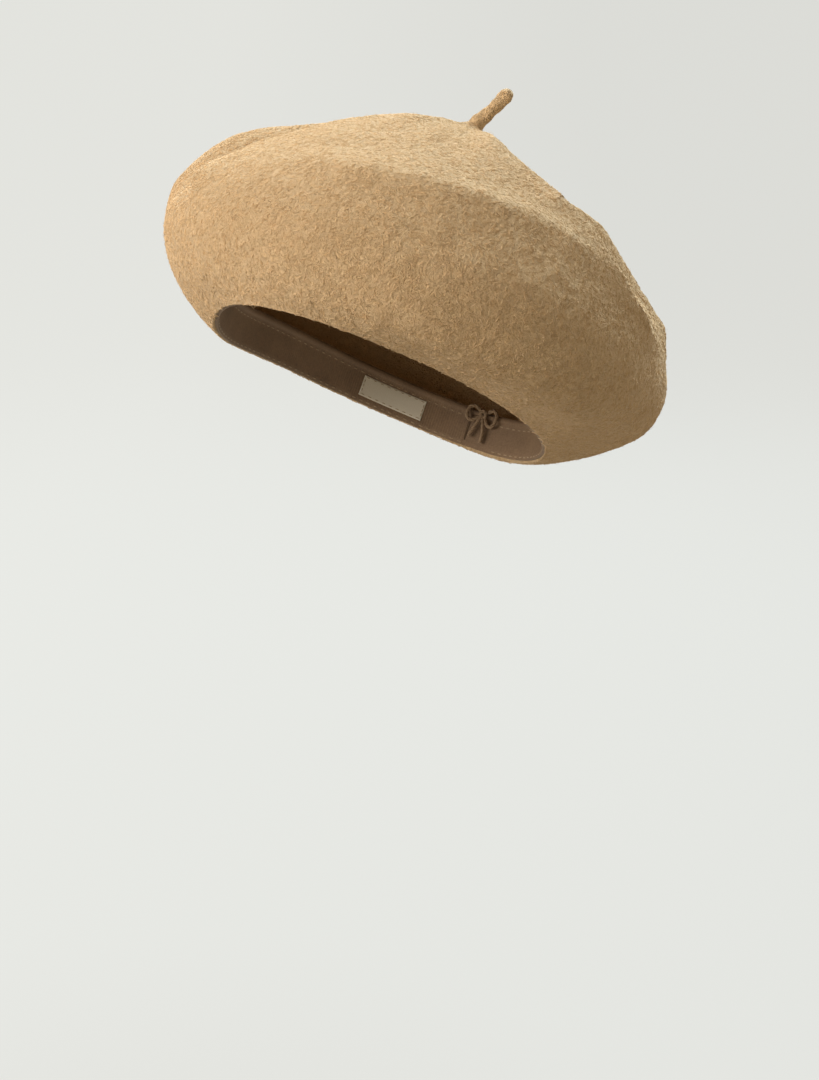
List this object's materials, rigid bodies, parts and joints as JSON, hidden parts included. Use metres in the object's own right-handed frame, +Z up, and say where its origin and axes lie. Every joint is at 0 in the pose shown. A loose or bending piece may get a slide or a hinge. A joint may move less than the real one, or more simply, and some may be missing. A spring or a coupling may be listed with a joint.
{
  "type": "beret",
  "caption": "Slouchy wool felt beret with a short felt stem, an inner sweatband folded over an adjusting drawcord, and a blank woven label.",
  "frame": {"origin": "centre of the head opening", "axes": "+X the wearer's left, +Y the wearer's back (the face looks along -Y), +Z up as worn on a level head"},
  "size_m": [0.266, 0.2648, 0.2103],
  "materials": {
    "wool_felt": "matt brushed wool felt, camel",
    "grosgrain": "ribbed grosgrain tape, dark camel",
    "cotton_cord": "braided cord",
    "thread": "spun polyester thread",
    "label_weave": "blank damask woven label"
  },
  "bodies": {
    "hat": {"felt_body": "wool_felt", "sweatband": "grosgrain", "sweatband_seam": "thread", "tunnel_seam": "thread", "drawcord": "cotton_cord", "drawcord_bow": "cotton_cord", "woven_label": "label_weave", "label_stitches": "thread", "stem_stitches": "thread"},
    "stem": {"stem": "wool_felt"}
  },
  "joints": [
    {"name": "stem_flex", "type": "hinge", "parent": "hat", "child": "stem", "pos_m": [0.0207, 0.0581, 0.136], "axis": [-0.5, 0.866, 0], "range_deg": [-50, 20], "stiffness_Nm_per_rad": 0.004}
  ]
}
